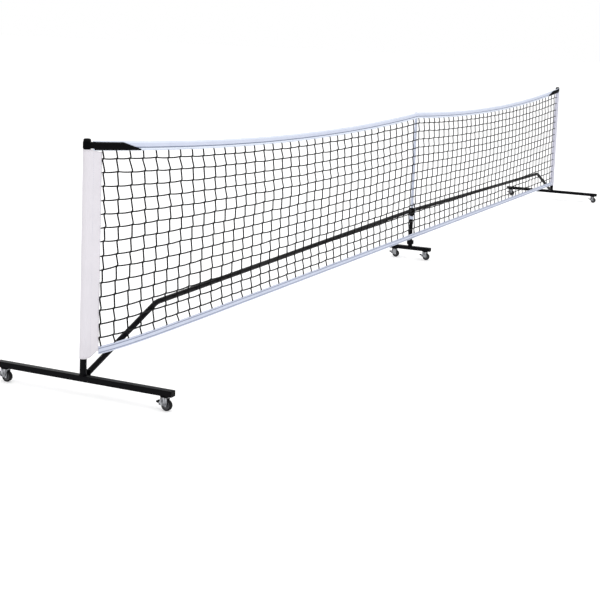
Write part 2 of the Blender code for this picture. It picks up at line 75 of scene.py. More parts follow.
# The netting
COLUMNS = 71                    # cells along the net
ROWS = 14                       # level cords
LOWEST_ROW = 0.7                # the lowest level cord above the bottom band, in cells,
HIGHEST_ROW = 0.6               # and the highest below the top band
FIRST_COLUMN = 0.012 - NET_END  # X of the outermost upright cords,
LAST_COLUMN = NET_END - 0.080
EDGE_LIMIT = NET_END - 0.004    # and how far out they may sway
BAND_GRIP = 0.003               # how deep the upright cords go into the bands
CORD_TIP = NET_END + 0.004      # ends of the level cords, on the sleeves
TIP_LENGTH = 0.006
CORD_RADIUS = 0.0030
CORD_SIDES = 6
KNOT_RADIUS = 0.0043

# The camera, with its angles in degrees
CAMERA_PLACE = (-7.097, -2.560, 1.336)
CAMERA_HEADING = 24.88     # from +X towards +Y
CAMERA_PITCH = 6.80        # downwards
CAMERA_ROLL = 2.16
CAMERA_LENS = 77.4         # in millimetres
CAMERA_SENSOR = 36
CAMERA_SHIFT = -0.20

SIDES = {"left": -1, "right": 1}
CASTERS = [f"{side}_{end}_caster" for side in ("left", "centre", "right")
           for end in ("near", "far")]


# ---------------------------------------------------------------- materials

WAVE_SCALE = 0.314         # scale of a wave texture with bands one metre apart


class Look:
    """A node material under construction: a Principled shader and helpers that wire into it."""

    def __init__(self, name, colour, roughness, metallic=0.0, specular=0.5):
        self.material = bpy.data.materials.new(name)
        self.material.use_nodes = True
        self.nodes = self.material.node_tree.nodes
        self.links = self.material.node_tree.links
        self.shader = self.nodes["Principled BSDF"]
        self.shader.inputs["Base Color"].default_value = (*colour, 1)
        self.shader.inputs["Roughness"].default_value = roughness
        self.shader.inputs["Metallic"].default_value = metallic
        self.shader.inputs["Specular IOR Level"].default_value = specular
        self.place = self.nodes.new("ShaderNodeTexCoord").outputs["Object"]

    def link(self, output, target):
        self.links.new(output, target)

    def scaled_place(self, scale):
        mapping = self.nodes.new("ShaderNodeMapping")
        mapping.inputs["Scale"].default_value = scale
        self.link(self.place, mapping.inputs["Vector"])
        return mapping.outputs["Vector"]

    def noise(self, size, detail=3.0, stretch=(1, 1, 1)):
        """Noise whose blotches are about this many metres across."""
        texture = self.nodes.new("ShaderNodeTexNoise")
        texture.inputs["Scale"].default_value = 1.0
        texture.inputs["Detail"].default_value = detail
        scale = [s / size for s in stretch]
        self.link(self.scaled_place(scale), texture.inputs["Vector"])
        return texture.outputs["Fac"]

    def threads(self, pitch, axis):
        """Slightly uneven threads across an axis, this many metres apart."""
        texture = self.nodes.new("ShaderNodeTexWave")
        texture.bands_direction = axis
        texture.inputs["Scale"].default_value = WAVE_SCALE / pitch
        texture.inputs["Distortion"].default_value = 0.3
        self.link(self.place, texture.inputs["Vector"])
        return texture.outputs["Fac"]

    def map_range(self, factor, **limits):
        """Maps a factor with the named sockets of a Map Range node set."""
        node = self.nodes.new("ShaderNodeMapRange")
        for name, value in limits.items():
            node.inputs[name.replace("_", " ").title()].default_value = value
        self.link(factor, node.inputs["Value"])
        return node.outputs["Result"]

    def ramp(self, factor, low, high):
        """Maps 0..1 to low..high."""
        return self.map_range(factor, to_min=low, to_max=high)

    def contrast(self, factor, start, end):
        """Stretches start..end to the whole of 0..1."""
        return self.map_range(factor, from_min=start, from_max=end)

    def mix_colour(self, factor, first, second):
        mix = self.nodes.new("ShaderNodeMix")
        mix.data_type = "RGBA"
        mix.inputs["A"].default_value = (*first, 1)
        mix.inputs["B"].default_value = (*second, 1)
        self.link(factor, mix.inputs["Factor"])
        return mix.outputs["Result"]

    def maths(self, operation, first, second):
        node = self.nodes.new("ShaderNodeMath")
        node.operation = operation
        self.link(first, node.inputs[0])
        self.link(second, node.inputs[1])
        return node.outputs["Value"]

    def colour(self, output):
        self.link(output, self.shader.inputs["Base Color"])

    def roughness(self, output):
        self.link(output, self.shader.inputs["Roughness"])

    def bump(self, height, strength, distance):
        node = self.nodes.new("ShaderNodeBump")
        node.inputs["Strength"].default_value = strength
        node.inputs["Distance"].default_value = distance
        self.link(height, node.inputs["Height"])
        self.link(node.outputs["Normal"], self.shader.inputs["Normal"])


def powder_coat():
    """Satin black powder coat: a fine pebbled skin with faint cool blotches."""
    look = Look("powder_coat_black", (0.002, 0.002, 0.0025), 0.38, specular=0.05)
    look.colour(look.mix_colour(look.noise(0.05), (0.0012, 0.0012, 0.0016),
                                (0.0032, 0.0032, 0.0045)))
    look.roughness(look.ramp(look.noise(0.02), 0.26, 0.42))
    look.bump(look.noise(0.0012, 2.0), 0.25, 0.0004)
    return look.material


def moulded_plastic():
    """Matte black plastic with a fine spark-eroded grain."""
    look = Look("black_moulded_plastic", (0.003, 0.003, 0.003), 0.5, specular=0.05)
    look.colour(look.mix_colour(look.noise(0.01), (0.0015, 0.0015, 0.0015),
                                (0.0042, 0.0042, 0.0046)))
    look.roughness(look.ramp(look.noise(0.004), 0.42, 0.6))
    look.bump(look.noise(0.0006, 3.0), 0.3, 0.0002)
    return look.material


def zinc():
    """Zinc plate: grey metal with cloudy crystals, and dark upright streaks painted into its
    colour as painted reflection of dark surroundings.
    """
    look = Look("zinc_plate", (0.42, 0.43, 0.45), 0.32, 1.0)
    # Painted reflection: dark upright streaks that stand for dark surroundings mirrored in the
    # metal
    streaks = look.contrast(look.noise(0.007, 1.5, (1.2, 1.2, 0.35)), 0.36, 0.66)
    look.colour(look.mix_colour(streaks, (0.06, 0.06, 0.065), (0.42, 0.43, 0.45)))
    look.roughness(look.ramp(look.noise(0.003, 2.0, (1, 1, 6)), 0.2, 0.42))
    look.bump(look.noise(0.0008, 2.0, (1, 1, 5)), 0.15, 0.0002)
    return look.material


def rubber():
    """Dark tyre rubber with dust in its finer grain."""
    look = Look("caster_rubber", (0.006, 0.006, 0.006), 0.62, specular=0.12)
    look.colour(look.mix_colour(look.noise(0.006, 4.0), (0.003, 0.003, 0.003),
                                (0.011, 0.011, 0.012)))
    look.roughness(look.ramp(look.noise(0.003), 0.5, 0.78))
    look.bump(look.noise(0.0007, 3.0), 0.35, 0.0002)
    return look.material


def hub_plastic():
    """Grey-black hub plastic, a little glossier than the tyre."""
    look = Look("caster_hub_plastic", (0.03, 0.03, 0.033), 0.4, specular=0.4)
    look.colour(look.mix_colour(look.noise(0.005), (0.020, 0.020, 0.022), (0.05, 0.05, 0.055)))
    look.roughness(look.ramp(look.noise(0.002), 0.32, 0.5))
    look.bump(look.noise(0.0008), 0.2, 0.0002)
    return look.material


def woven(name, light, dark, pitch, roughness=0.7, specular=0.35, sheen=0.15):
    """Plain woven cloth: crossed threads in the bump and the colour, with soft large blotches."""
    look = Look(name, light, roughness, specular=specular)
    threads = look.maths("MULTIPLY", look.threads(pitch, "X"), look.threads(pitch, "Z"))
    blotches = look.noise(0.09, 3.0)
    shade = look.maths("MULTIPLY", look.ramp(threads, 0.75, 1.0), look.ramp(blotches, 0.55, 1.25))
    look.colour(look.mix_colour(shade, dark, light))
    look.roughness(look.ramp(threads, roughness + 0.1, roughness - 0.05))
    look.bump(look.maths("ADD", threads, look.noise(0.012)), 0.45, 0.0004)
    look.shader.inputs["Sheen Weight"].default_value = sheen
    look.shader.inputs["Sheen Roughness"].default_value = 0.5
    return look.material


def cord_fibre():
    """Dark twisted polyethylene cord with lighter strands."""
    look = Look("net_cord_fibre", (0.004, 0.004, 0.004), 0.6, specular=0.08)
    strands = look.noise(0.0025, 2.0, (1, 1, 1))
    look.colour(look.mix_colour(strands, (0.002, 0.002, 0.0025), (0.008, 0.008, 0.009)))
    look.roughness(look.ramp(strands, 0.5, 0.75))
    look.bump(strands, 0.6, 0.0005)
    return look.material


def pale_floor():
    """Matte white sweep with the faintest mottling."""
    look = Look("studio_floor", (0.90, 0.90, 0.90), 0.85)
    look.colour(look.mix_colour(look.noise(0.8), (0.885, 0.885, 0.888), (0.905, 0.905, 0.905)))
    look.shader.inputs["Emission Color"].default_value = (1, 1, 1, 1)
    look.shader.inputs["Emission Strength"].default_value = 0.24
    return look.material


POWDER = powder_coat()
PLASTIC = moulded_plastic()
ZINC = zinc()
RUBBER = rubber()
HUB = hub_plastic()
BAND = woven("white_band_tape", (0.57, 0.61, 0.73), (0.43, 0.47, 0.60), 0.0016)
# A lighter copy of the band tape for the top band's upper and lower strips: painted light where
# those faces catch more light
PALE_BAND = woven("painted_light_band_tape", (0.68, 0.73, 0.83), (0.55, 0.60, 0.71), 0.0016)
# Darker copies of the band tape for the faces in the seam grooves: painted shade where the folds
# shadow the tape
SEAM = woven("seam_painted_shade_tape", (0.27, 0.30, 0.40), (0.19, 0.22, 0.32), 0.0016)
DEEP_SEAM = woven("top_groove_painted_shade", (0.16, 0.19, 0.28), (0.10, 0.13, 0.21), 0.0016)
SLEEVE = woven("pale_sleeve_cloth", (0.68, 0.655, 0.695), (0.55, 0.53, 0.57), 0.0012, 0.75)
# A darker, bluer copy of the sleeve cloth for the right sleeve: painted shade
SHADED_SLEEVE = woven("far_sleeve_painted_shade", (0.54, 0.54, 0.63), (0.42, 0.42, 0.51), 0.0012, 0.75)
WEBBING = woven("black_webbing", (0.0022, 0.0022, 0.0028), (0.001, 0.001, 0.0013), 0.0022, 0.75,
                specular=0.03, sheen=0.0)
THREAD = woven("pale_thread", (0.30, 0.33, 0.45), (0.20, 0.23, 0.34), 0.0008)
DARK_THREAD = woven("dark_thread", (0.03, 0.03, 0.033), (0.015, 0.015, 0.017), 0.0008,
                    specular=0.2, sheen=0.0)
CORD_FIBRE = cord_fibre()


# ---------------------------------------------------------------- mesh tools

def piece(name, mesh, material, body=BODY, smooth_angle=40):
    """A mesh as a shown piece that rides on a CAD body."""
    obj = bpy.data.objects.new(name, mesh)
    bpy.context.scene.collection.objects.link(obj)
    mesh.materials.append(material)
    mesh.shade_smooth()
    mesh.set_sharp_from_angle(angle=math.radians(smooth_angle))
    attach(obj, body)
    return obj


def mesh_from(name, points, faces):
    mesh = bpy.data.meshes.new(name)
    mesh.from_pydata(points, [], faces)
    mesh.update()
    return mesh


def grid_faces(rows, columns, closed_rows=False, closed_columns=False, start=0):
    """Quads over a grid of points that is stored row by row."""
    faces = []
    for row in range(rows if closed_rows else rows - 1):
        below = (row + 1) % rows
        for column in range(columns if closed_columns else columns - 1):
            right = (column + 1) % columns
            faces.append((start + row * columns + column, start + row * columns + right,
                          start + below * columns + right, start + below * columns + column))
    return faces


def wobble(x, y, z, size):
    """Smooth noise from about -1 to 1, whose waves are about this long."""
    return noise.noise(Vector((x, y, z)) / size)


def fade(distance, length):
    """0 at an edge, rising smoothly to 1 at this distance from it."""
    share = min(max(distance / length, 0.0), 1.0)
    return share * share * (3 - 2 * share)


def face_outward(mesh):
    """Turns all faces of a closed mesh outward."""
    shape = bmesh.new()
    shape.from_mesh(mesh)
    bmesh.ops.recalc_face_normals(shape, faces=shape.faces)
    shape.to_mesh(mesh)
    shape.free()
    return mesh


def moved(mesh, place):
    copy = mesh.copy()
    copy.transform(Matrix.Translation(place))
    return copy


def mirrored(mesh):
    copy = mesh.copy()
    copy.transform(Matrix.Scale(-1, 4, (1, 0, 0)))
    copy.flip_normals()
    return copy


STITCH_LENGTH = 0.0042
STITCH_WIDTH = 0.0009
STITCH_HEIGHT = 0.0005


def stitches(name, seats, material):
    """A row of thread stitches, one mesh. A seat is (place, direction, outward)."""
    points, faces = [], []
    for place, along, out in seats:
        place, along, out = Vector(place), Vector(along), Vector(out)
        across = along.cross(out) * STITCH_WIDTH / 2
        along = along * STITCH_LENGTH / 2
        rise = out * STITCH_HEIGHT
        start = len(points)
        points += [place - along, place + along, place - across, place + across,
                   place + rise, place - rise]
        for a, b in ((0, 2), (2, 1), (1, 3), (3, 0)):
            faces.append((start + a, start + b, start + 4))
            faces.append((start + b, start + a, start + 5))
    return piece(name, mesh_from(name, points, faces), material)


# ---------------------------------------------------------------- lines of the net

def top_edge(x):
    """Height of the net's top edge: two parabolas that meet at the centre."""
    share = 1 - abs(x) / HALF_SPAN
    straight = END_HEIGHT + (CENTRE_HEIGHT - END_HEIGHT) * share
    return straight - 4 * BAND_SAG * share * (1 - share)


def bottom_edge(x):
    """Height of the net's lower edge, which turns up towards the left post."""
    return BOTTOM_EDGE + EDGE_RISE * (max(-x, 0) / HALF_SPAN) ** 16


# ---------------------------------------------------------------- the netting

def row_shift(x, depth):
    """How far a knot is pulled along the net: a slow wave down its depth and smooth noise."""
    swing = 7.5 * depth - 1.3 + 0.8 * wobble(x, 0.0, 0.0, 1.4)
    return 0.0095 * math.sin(swing) + 0.0085 * wobble(x * 0.15, 40.0, depth * 6, 0.5)


def knot_grid():
    """Rows of (x, z) from band to band: where the upright cords start, cross and end."""
    rows = []
    cells = LOWEST_ROW + ROWS - 1 + HIGHEST_ROW
    shares = [0.0] + [(LOWEST_ROW + i) / cells for i in range(ROWS)] + [1.0]
    for level, share in enumerate(shares):
        row = []
        for column in range(COLUMNS + 1):
            x = FIRST_COLUMN + (LAST_COLUMN - FIRST_COLUMN) * column / COLUMNS
            low = bottom_edge(x) + BOTTOM_BAND - BAND_GRIP
            high = top_edge(x) - TOP_BAND + BAND_GRIP
            slack = 0.0045 if 0 < level < len(shares) - 1 else 0.0
            pull = row_shift(x, 1 - share) + 0.0040 * wobble(x, 3.0, share * 5, 0.11)
            row.append((max(-EDGE_LIMIT, min(x + pull, EDGE_LIMIT)),
                        low + (high - low) * share + slack * wobble(x, 9.0, share * 5, 0.12)))
        rows.append(row)
    return rows


def cord_tubes(paths, upright):
    """Points and faces of round cords along paths of points. Each end thins to a tip."""
    points, faces = [], []
    turns = [2 * math.pi * k / CORD_SIDES for k in range(CORD_SIDES)]
    ring = [(math.cos(turn) * CORD_RADIUS, math.sin(turn) * CORD_RADIUS) for turn in turns]
    for path in paths:
        start = len(points)
        for index, (x, y, z) in enumerate(path):
            girth = 0.3 if index in (0, len(path) - 1) else 1.0
            for a, b in ring:
                points.append((x + a * girth, y + b * girth, z) if upright else
                              (x, y + a * girth, z + b * girth))
        faces += grid_faces(len(path), CORD_SIDES, closed_columns=True, start=start)
        faces.append(tuple(start + k for k in reversed(range(CORD_SIDES))))
        faces.append(tuple(len(points) - CORD_SIDES + k for k in range(CORD_SIDES)))
    return points, faces


def upright_cord(rows, column):
    """A cord down one column, from band to band. It leans between two knots."""
    path = []
    for level in range(len(rows) - 1):
        (x0, z0), (x1, z1) = rows[level][column], rows[level + 1][column]
        lean = 0.0110 + 0.0070 * wobble(x0, 20.0, z0, 0.05)
        path.append((x0, NET_PLANE, z0))
        for share in (0.12, 0.5, 0.88):
            path.append((x0 + (x1 - x0) * share + lean * (0.5 - share), NET_PLANE,
                         z0 + (z1 - z0) * share))
    (low_x, low_z), (high_x, high_z) = rows[0][column], rows[-1][column]
    path[0] = (low_x, BOTTOM_BAND_PLANE, low_z)
    return path + [(high_x, TOP_BAND_PLANE, high_z)]


def level_cord(row):
    """A cord along one row, from sleeve to sleeve. It dips a little between two knots."""
    path = [(-CORD_TIP, NET_PLANE, row[0][1]), (TIP_LENGTH - CORD_TIP, NET_PLANE, row[0][1])]
    for (x0, z0), (x1, z1) in zip(row, row[1:]):
        dip = 0.0016 + 0.0014 * wobble(x0, 31.0, z0, 0.05)
        for share in (0.0, 0.25, 0.5, 0.75):
            drop = dip * 4 * share * (1 - share)
            path.append((x0 + (x1 - x0) * share, NET_PLANE, z0 + (z1 - z0) * share - drop))
    for x in (row[-1][0], CORD_TIP - TIP_LENGTH, CORD_TIP):
        path.append((x, NET_PLANE, row[-1][1]))
    return path


def knot_balls(rows):
    """Points and faces of a small round knot at each crossing."""
    shape = bmesh.new()
    bmesh.ops.create_icosphere(shape, subdivisions=1, radius=KNOT_RADIUS)
    ball = [tuple(v.co) for v in shape.verts]
    sides = [tuple(v.index for v in f.verts) for f in shape.faces]
    shape.free()
    points, faces = [], []
    for row in rows[1:-1]:
        for x, z in row:
            start = len(points)
            points += [(x + a * 1.15, NET_PLANE + b * 0.9, z + c) for a, b, c in ball]
            faces += [tuple(start + i for i in side) for side in sides]
    return points, faces


def make_netting():
    rows = knot_grid()
    upright = cord_tubes([upright_cord(rows, c) for c in range(COLUMNS + 1)], True)
    level = cord_tubes([level_cord(row) for row in rows[1:-1]], False)
    points, faces = [], []
    for part_points, part_faces in (upright, level, knot_balls(rows)):
        start = len(points)
        points += part_points
        faces += [tuple(start + i for i in face) for face in part_faces]
    net = piece("net_cords", mesh_from("net_cords", points, faces), CORD_FIBRE,
                smooth_angle=80)
    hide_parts("net_panel")
    return net


# ---------------------------------------------------------------- the bands

FIRM_END = 0.36            # a band lies still along the corner tabs,
LOOSENING = 0.30           # and ripples freely this much further in
STATIONS = 320
STITCH_PITCH = 0.0068


def top_band_low(x):
    """Height of the top band's lower edge."""
    return top_edge(x) - TOP_BAND


def mirrored_section(front):
    """The front half of a section, from its bottom to its top, and its back half."""
    return [(-y, share) for y, share in front] + [(y, share) for y, share in reversed(front)]


# A band runs from -end to end. Its edge(x) is the height of its lower edge, its plane is the Y of
# its middle, and its section is a closed outline of (y, share of its height).
Band = namedtuple("Band", "end edge height plane ripple section")

TOP = Band(BAND_END, top_band_low, TOP_BAND, TOP_BAND_PLANE, 0.0012, mirrored_section([
    (0.0008, 0.0), (0.0010, 0.03), (0.0010, 0.29), (0.0005, 0.33), (0.0006, 0.35),
    (0.0013, 0.41), (0.0015, 0.60), (0.0014, 0.80), (0.0011, 0.93), (0.0005, 0.99)]))
LOW = Band(NET_END, bottom_edge, BOTTOM_BAND, BOTTOM_BAND_PLANE, 0.0009, mirrored_section([
    (0.0006, 0.0), (0.0010, 0.04), (0.0010, 0.14), (0.0005, 0.19), (0.0005, 0.22),
    (0.0012, 0.28), (0.0013, 0.45), (0.0012, 0.66), (0.0005, 0.72), (0.0005, 0.75),
    (0.0009, 0.80), (0.0009, 0.96), (0.0005, 0.995)]))


def band_mesh(band):
    """A closed strip that follows the band's edge, rippling where it is loose."""
    points = []
    for i in range(STATIONS + 1):
        x = band.end * (2 * i / STATIONS - 1)
        loose = fade(band.end - abs(x) - FIRM_END, LOOSENING) * band.ripple
        sway = loose * wobble(x, 1.0, 0, 0.13)
        rise = loose * 0.8 * wobble(x, 5.0, 0, 0.21)
        for y, share in band.section:
            curl = loose * 0.5 * wobble(x, 7.0, share * 0.05, 0.06)
            points.append((x, band.plane + y + sway + curl,
                           band.edge(x) + band.height * share + rise * share))
    count = len(band.section)
    faces = grid_faces(STATIONS + 1, count, closed_columns=True)
    faces.append(tuple(reversed(range(count))))
    faces.append(tuple(STATIONS * count + k for k in range(count)))
    return face_outward(mesh_from("band", points, faces))


def mark_strips(tape, section, material, strips):
    """Gives a band's faces between these shares of its height another material: here painted
    shade in the seam grooves and painted light on the top band's strips.
    """
    tape.data.materials.append(material)
    slot = len(tape.data.materials) - 1
    count = len(section)
    for face in tape.data.polygons:
        (y0, low), (y1, high) = section[face.index % count], section[(face.index + 1) % count]
        middle = (low + high) / 2
        if y0 * y1 > 0 and any(start < middle < end for start, end in strips):
            face.material_index = slot


def band_stitches(name, band, share, half_depth):
    """Stitches along both faces of a band at a share of its height."""
    count = int(2 * band.end / STITCH_PITCH)
    seats = []
    for i in range(count):
        x = band.end * (2 * (i + 0.5) / count - 1)
        slope = (band.edge(x + 0.01) - band.edge(x - 0.01)) / 0.02
        along = Vector((1, 0, slope)).normalized()
        z = band.edge(x) + band.height * share
        for out in (-1, 1):
            seats.append(((x, band.plane + out * half_depth, z), along, (0, out, 0)))
    return stitches(name, seats, THREAD)


def make_bands():
    top = piece("top_band_tape", band_mesh(TOP), BAND)
    # Painted shade in the top band's seam groove
    mark_strips(top, TOP.section, DEEP_SEAM, [(0.29, 0.41)])
    # Painted light: the top band's upper and lower strips get the lighter copy of the tape
    mark_strips(top, TOP.section, PALE_BAND, [(0.0, 0.29), (0.80, 1.0)])
    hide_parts("top_band")
    seams = [band_stitches("top_band_seam", TOP, 0.335, 0.0011),
             band_stitches("top_band_hem", TOP, 0.07, 0.0011)]
    low = piece("bottom_band_tape", band_mesh(LOW), BAND)
    # Painted shade in the bottom band's two seam grooves
    mark_strips(low, LOW.section, SEAM, [(0.14, 0.28), (0.66, 0.80)])
    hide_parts("bottom_band")
    seams = [band_stitches("bottom_band_seam", LOW, 0.735, 0.0008),
             band_stitches("bottom_band_hem", LOW, 0.205, 0.0008)]


# ---------------------------------------------------------------- sleeves and tabs

# Both are drawn as a plan round the left post: X runs from the post's axis along the net.
WRAP_TURN = 360 - 62       # how far cloth goes round a post, in degrees
WRAP_STEPS = 22

SLEEVE_RADIUS = 0.0142     # of the cloth round a post
SLEEVE_BEHIND = 0.0155     # how far the CAD sleeve stands out past the post's axis
SLEEVE_CLOTH = 0.0011
SLEEVE_FACE = -0.0150      # Y of its front
SLEEVE_STITCHES = 100

TAB_RADIUS = 0.0147        # of the webbing round a post cap
TAB_PLANE = -0.0151
TAB_CLOTH = 0.0014
TAB_FACE = -0.0161
TAB_LENGTH = 0.330
TAB_TAPER = 0.210          # where it starts to narrow
TAB_STITCHES = 52


def wrap_path(reach, radius, plane, flap_points):
    """Plan of cloth that comes in along the net's plane, goes round a post and meets itself."""
    flap = [(reach * (1 - i / flap_points), plane) for i in range(flap_points)]
    start = math.degrees(math.asin(plane / radius)) if abs(plane) < radius else -90
    loop = []
    for i in range(WRAP_STEPS + 1):
        angle = math.radians(start - WRAP_TURN * i / WRAP_STEPS)
        loop.append((radius * math.cos(angle), radius * math.sin(angle)))
    hem = [(0.0165, plane + 0.0021), (0.0215, plane + 0.0013), (0.0300, plane + 0.0011)]
    return flap + loop + hem


def wrapped_cloth(path, low, high, levels, ripple):
    """Open sheet over a plan path, between heights that depend on x, with soft creases."""
    points = []
    for level in range(levels + 1):
        share = level / levels
        for x, y in path:
            z = low(x) + (high(x) - low(x)) * share
            loose = ripple * fade(min(share, 1 - share), 0.08)
            crease = loose * (wobble(x, 2.0, z * 0.25, 0.018) + 0.6 * wobble(x, 8.0, z, 0.07))
            points.append((x, y + crease * math.copysign(0.5, y) - loose * 0.2, z))
    return mesh_from("cloth", points, grid_faces(levels + 1, len(path)))


def at_post(mesh, sign):
    """A plan's mesh moved to the left post, or mirrored to the right one."""
    mesh.transform(Matrix.Translation((-HALF_SPAN, 0, 0)))
    return mirrored(mesh) if sign > 0 else mesh


def thicken(obj, thickness):
    """Gives an open sheet its thickness, both ways from its middle."""
    modifier = obj.modifiers.new("cloth", "SOLIDIFY")
    modifier.thickness = thickness
    modifier.offset = 0


def make_side_sleeve(side, sign):
    corner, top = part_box(side + "_sleeve")
    low_post, high_post = corner.z, top.z
    reach = top.x - corner.x - SLEEVE_BEHIND

    def low(x):
        """The flap's lower edge slopes up from the post to the net."""
        return low_post + 0.015 * fade(x - 0.014, reach - 0.014)

    def high(x):
        """The pocket stands up to the post cap, and the flap stays under the top band."""
        return (high_post - 0.0062 * fade(x - 0.0145, 0.0035)
                - 0.0065 * fade(x - 0.0185, reach - 0.0185))

    path = wrap_path(reach, SLEEVE_RADIUS, -SLEEVE_RADIUS, 18)
    mesh = at_post(wrapped_cloth(path, low, high, 90, 0.0009), sign)
    # The right sleeve wears the darker copy of the sleeve cloth: painted shade
    obj = piece(side + "_side_sleeve", mesh, SLEEVE if sign < 0 else SHADED_SLEEVE,
                smooth_angle=70)
    thicken(obj, SLEEVE_CLOTH)
    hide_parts(side + "_sleeve")
    seats = []
    for column in (reach - 0.0035, 0.0200):
        first, last = low(column) + 0.006, high(column) - 0.006
        for i in range(SLEEVE_STITCHES):
            z = first + (last - first) * (i + 0.5) / SLEEVE_STITCHES
            x = sign * (HALF_SPAN - column)
            seats.append(((x, SLEEVE_FACE, z), (0, 0, 1), (0, -1, 0)))
    thread = stitches(side + "_sleeve_seams", seats, THREAD)


def make_corner_tab(side, sign):
    cap_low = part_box("left_post_cap")[0].z + 0.0006

    def low(x):
        """Along the top band's lower edge, but not below the post cap."""
        line = top_band_low(x - HALF_SPAN) + 0.002
        return max(line, cap_low) if x < 0.03 else line

    def high(x):
        """Just under the top edge, coming down to a blunt tip."""
        line = top_edge(x - HALF_SPAN) - 0.005
        narrowed = min(max((x - TAB_TAPER) / (TAB_LENGTH - TAB_TAPER), 0.0), 1.0)
        return line - (line - low(x) - 0.004) * narrowed

    path = wrap_path(TAB_LENGTH, TAB_RADIUS, TAB_PLANE, 44)
    mesh = at_post(wrapped_cloth(path, low, high, 8, 0.0002), sign)
    obj = piece(side + "_corner_tab_webbing", mesh, WEBBING, smooth_angle=70)
    thicken(obj, TAB_CLOTH)
    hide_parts(side + "_corner_tab")
    seats = []
    first, last = 0.035, TAB_LENGTH - 0.030
    for i in range(TAB_STITCHES):
        column = first + (last - first) * (i + 0.5) / TAB_STITCHES
        x = sign * (HALF_SPAN - column)
        for share in (0.12, 0.88):
            z = low(column) + (high(column) - low(column)) * share
            seats.append(((x, TAB_FACE, z), (1, 0, 0), (0, -1, 0)))
    thread = stitches(side + "_tab_stitches", seats, DARK_THREAD)


# The centre sleeve: a pocket on the rod, a strap below it and a loop on the post
TAPE_CLOTH = 0.0009
POCKET_WIDE = 0.0138       # half of the pocket's width and depth
POCKET_DEEP = 0.0055
STRAP_SEWN = 0.030         # length of the strap's end that lies on the pocket
STRAP_WIDTH = 0.0115
STRAP_LEFT = 0.0140        # X of its left edge below the pocket,
STRAP_STEP = 0.0085        # and how far to the left it is sewn on
STRAP_PLANE = -0.0121      # Y of it in front of the rail,
STRAP_BACK = 0.0062        # and how far behind that it is sewn on
LOOP_RADIUS = 0.0118
LOOP_HEIGHT = 0.018
LOOP_DROP = 0.0215         # from the tee to the loop's lower edge


def make_centre_sleeve():
    """Flat pocket round the centre rod, a strap down to the bottom band and a loop."""
    low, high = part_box("centre_sleeve")[0].z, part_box("centre_sleeve")[1].z
    count, levels = 28, 70
    points = []
    for level in range(levels + 1):
        share = level / levels
        z = low + (high - low) * share
        for k in range(count):
            angle = 2 * math.pi * k / count
            x = POCKET_WIDE * math.copysign(abs(math.cos(angle)) ** 0.8, math.cos(angle))
            y = POCKET_DEEP * math.sin(angle)
            crease = 0.0006 * wobble(x * 3, y * 3, z, 0.05)
            points.append((x + crease, y + crease, z))
    mesh = mesh_from("centre_sleeve", points, grid_faces(levels + 1, count,
                                                         closed_columns=True))
    pocket = piece("centre_sleeve_pocket", mesh, BAND, smooth_angle=70)
    thicken(pocket, TAPE_CLOTH)
    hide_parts("centre_sleeve")
    strap = make_centre_strap(low)
    loop = make_centre_loop()


def make_centre_strap(top):
    """Tape sewn to the pocket's lower corner, led in front of the rail to the bottom band."""
    points, levels, columns = [], 48, 5
    bottom = bottom_edge(0) + BOTTOM_BAND - 0.006
    for level in range(levels + 1):
        z = bottom + (top + STRAP_SEWN - bottom) * level / levels
        left = (STRAP_LEFT - STRAP_STEP * fade(z - top + 0.005, 0.020)
                + 0.0012 * wobble(0, 4.0, z, 0.08))
        plane = STRAP_PLANE + STRAP_BACK * fade(z - top, 0.014)
        for k in range(columns):
            x = left + STRAP_WIDTH * k / (columns - 1)
            points.append((x, plane + 0.0002 * wobble(x, 6.0, z, 0.03), z))
    mesh = mesh_from("strap", points, grid_faces(levels + 1, columns))
    obj = piece("centre_strap", mesh, BAND, smooth_angle=70)
    thicken(obj, TAPE_CLOTH)
    return obj


def make_centre_loop():
    """Tape sewn in a ring round the centre post, just under the tee."""
    tee_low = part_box("centre_tee")[0].z
    count, levels = 40, 6
    points = []
    for level in range(levels + 1):
        for k in range(count):
            angle = 2 * math.pi * k / count
            radius = LOOP_RADIUS + 0.0002 * math.sin(3 * angle)
            z = tee_low - LOOP_DROP + LOOP_HEIGHT * level / levels + 0.0015 * math.sin(angle)
            points.append((radius * math.cos(angle), radius * math.sin(angle), z))
    mesh = mesh_from("loop", points, grid_faces(levels + 1, count, closed_columns=True))
    obj = piece("centre_loop", mesh, BAND, smooth_angle=70)
    thicken(obj, 0.0010)
    return obj


# ---------------------------------------------------------------- casters

WHEEL_STEPS = 64
PEDAL_PIVOT = (0, 0.0230, 0.0035)   # from the wheel's centre
PEDAL_RISE = 25                     # slope of a free pedal, in degrees
PAD_HALF = 0.0085                   # half of a pedal pad's width
PAD_TOP = 0.0010                    # from its middle plane
RIDGE = 0.0006                      # radius of a grip ridge
RIDGE_STEPS = 7
RIDGE_REACHES = (0.0100, 0.0123, 0.0146)   # from the pivot


def turned(profile):
    """A closed outline of (radius, along) points spun round the X axis."""
    points = []
    for step in range(WHEEL_STEPS):
        angle = 2 * math.pi * step / WHEEL_STEPS
        for radius, along in profile:
            points.append((along, radius * math.cos(angle), radius * math.sin(angle)))
    faces = grid_faces(WHEEL_STEPS, len(profile), closed_rows=True, closed_columns=True)
    return face_outward(mesh_from("turned", points, faces))


def tyre_mesh():
    """Tread with a rounded crown, shoulders and a shallow step down to the hub."""
    crown = [(0.0200, 0.0), (0.0200, 0.0030), (0.01975, 0.0050), (0.0191, 0.0068),
             (0.0180, 0.0080), (0.0168, 0.0085), (0.0150, 0.0084), (0.0146, 0.0078)]
    return turned([(0.0146, 0.0)] + crown[::-1] + [(r, -a) for r, a in crown[1:]])


def hub_mesh():
    """Hub disc with a raised rim, a hollow web and a bearing boss."""
    side = [(0.0145, 0.0078), (0.0128, 0.0080), (0.0122, 0.0064), (0.0075, 0.0060),
            (0.0070, 0.0082), (0.0058, 0.0085), (0.0036, 0.0085), (0.0033, 0.0082)]
    return turned(side + [(r, -a) for r, a in reversed(side)])


